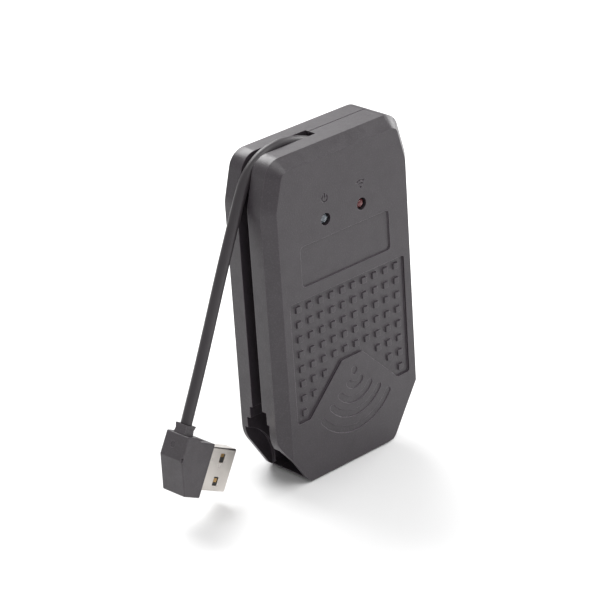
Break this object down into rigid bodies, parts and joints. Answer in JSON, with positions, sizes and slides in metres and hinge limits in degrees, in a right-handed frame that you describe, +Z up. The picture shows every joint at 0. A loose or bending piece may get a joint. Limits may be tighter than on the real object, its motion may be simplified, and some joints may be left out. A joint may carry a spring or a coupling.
{
  "type": "microchip scanner",
  "caption": "Pocket-size animal microchip reader: a bevelled upright plastic case with a grip panel and two indicators, and a short USB lead that stows in an edge channel.",
  "frame": {"origin": "Under the middle of the case, on the flat bottom end that it stands on. The lead and the plug aren't counted.", "axes": "+Z up the long axis of the case, +X to the right as seen from the front, +Y from the front face to the back. The front face looks along -Y."},
  "size_m": [0.0848, 0.0194, 0.0947],
  "materials": {
    "case": "fine spark-eroded texture, dark grey ABS",
    "plug_plastic": "satin dark grey PVC overmould",
    "lead_jacket": "smooth satin PVC jacket",
    "plug_metal": "nickel plated sheet, satin",
    "gold": "gold flash on brass",
    "tongue_plastic": "moulded black",
    "clear_lens": "water clear epoxy",
    "red_lens": "red tinted epoxy",
    "screw_steel": "black oxide",
    "board": "green solder mask",
    "chip_black": "moulded epoxy",
    "can_metal": "drawn tinned steel",
    "film_case": "dipped resin",
    "chip_ceramic": "fired ceramic",
    "connector_nylon": "natural nylon",
    "wire_jacket": "PVC wire insulation",
    "former_plastic": "natural moulded plastic",
    "copper": "enamelled copper wire"
  },
  "bodies": {
    "case": {"front_shell": "case", "back_shell": "case", "case_screws": "screw_steel", "main_board": "board", "led_power": "clear_lens", "led_read": "red_lens", "reader_chip": "chip_black", "microcontroller": "chip_black", "crystal": "can_metal", "tuning_capacitors": "film_case", "chip_passives": "chip_ceramic", "buzzer": "chip_black", "wire_header": "connector_nylon", "wire_housing": "connector_nylon", "lead_conductors": "wire_jacket", "strain_sleeve": "can_metal", "antenna_former": "former_plastic", "antenna_winding": "copper", "antenna_leads": "copper", "lead_inner": "lead_jacket", "lead_bend": "lead_jacket"},
    "lead": {"lead_free": "lead_jacket"},
    "plug": {"plug_collar": "plug_plastic", "plug_overmould": "plug_plastic", "plug_shell": "plug_metal", "plug_tongue": "tongue_plastic", "plug_contacts": "gold"}
  },
  "joints": [
    {"name": "lead_swing", "type": "hinge", "parent": "case", "child": "lead", "pos_m": [-0.02174, 0.0001, 0.08959], "axis": [0, 1, 0], "range_deg": [-23.5, 60], "deforming": ["lead_bend"]},
    {"name": "plug_turn", "type": "hinge", "parent": "lead", "child": "plug", "pos_m": [-0.0514, 0.0001, 0.0278], "axis": [0.3761, 0.5058, 0.7763], "range_deg": [-9.29, 23.69]}
  ],
  "couplings": [
    {"joint": "plug_turn", "follows": "lead_swing", "ratio": 0.39475}
  ]
}
